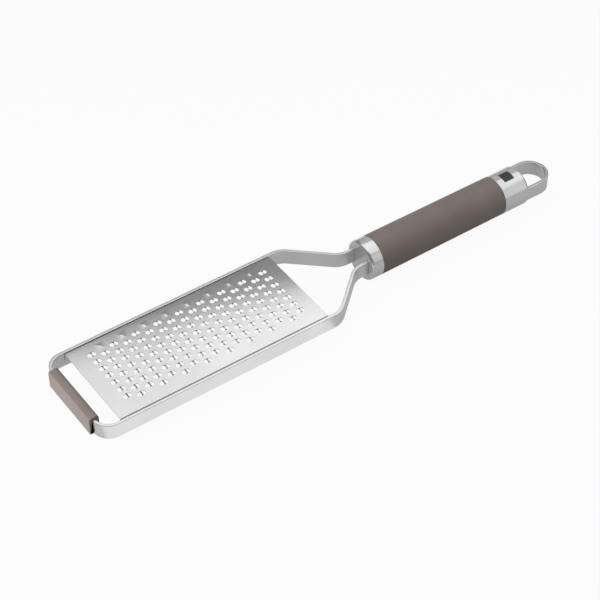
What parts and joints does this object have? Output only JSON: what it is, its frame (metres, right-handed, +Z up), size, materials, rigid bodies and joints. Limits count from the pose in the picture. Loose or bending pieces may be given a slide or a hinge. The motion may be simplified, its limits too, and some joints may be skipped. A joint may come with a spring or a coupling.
{
  "type": "rasp zester",
  "caption": "Hand-held rasp zester with a toothed steel plate in a bent strip frame, a soft front rest and a round soft-grip handle that ends in a hanging loop.",
  "frame": {"origin": "under the middle of the whole tool, level with the lowest line of the grip", "axes": "+X along the handle towards the hanging loop, +Z up out of the toothed face"},
  "size_m": [0.3452, 0.066, 0.0258],
  "materials": {
    "frame_steel": "fine satin, brushed along the strip",
    "plate_steel": "smooth satin sheet",
    "fitting_steel": "satin, turned round the handle",
    "soft_grip": "matt soft-touch taupe",
    "core_plastic": "plain moulded, hidden"
  },
  "bodies": {
    "root": {"frame_band": "frame_steel", "rasp_plate": "plate_steel", "front_rest": "soft_grip", "front_ferrule": "fitting_steel", "handle_core": "core_plastic", "grip_sleeve": "soft_grip", "end_cap": "fitting_steel", "hanging_loop": "fitting_steel"}
  },
  "joints": []
}
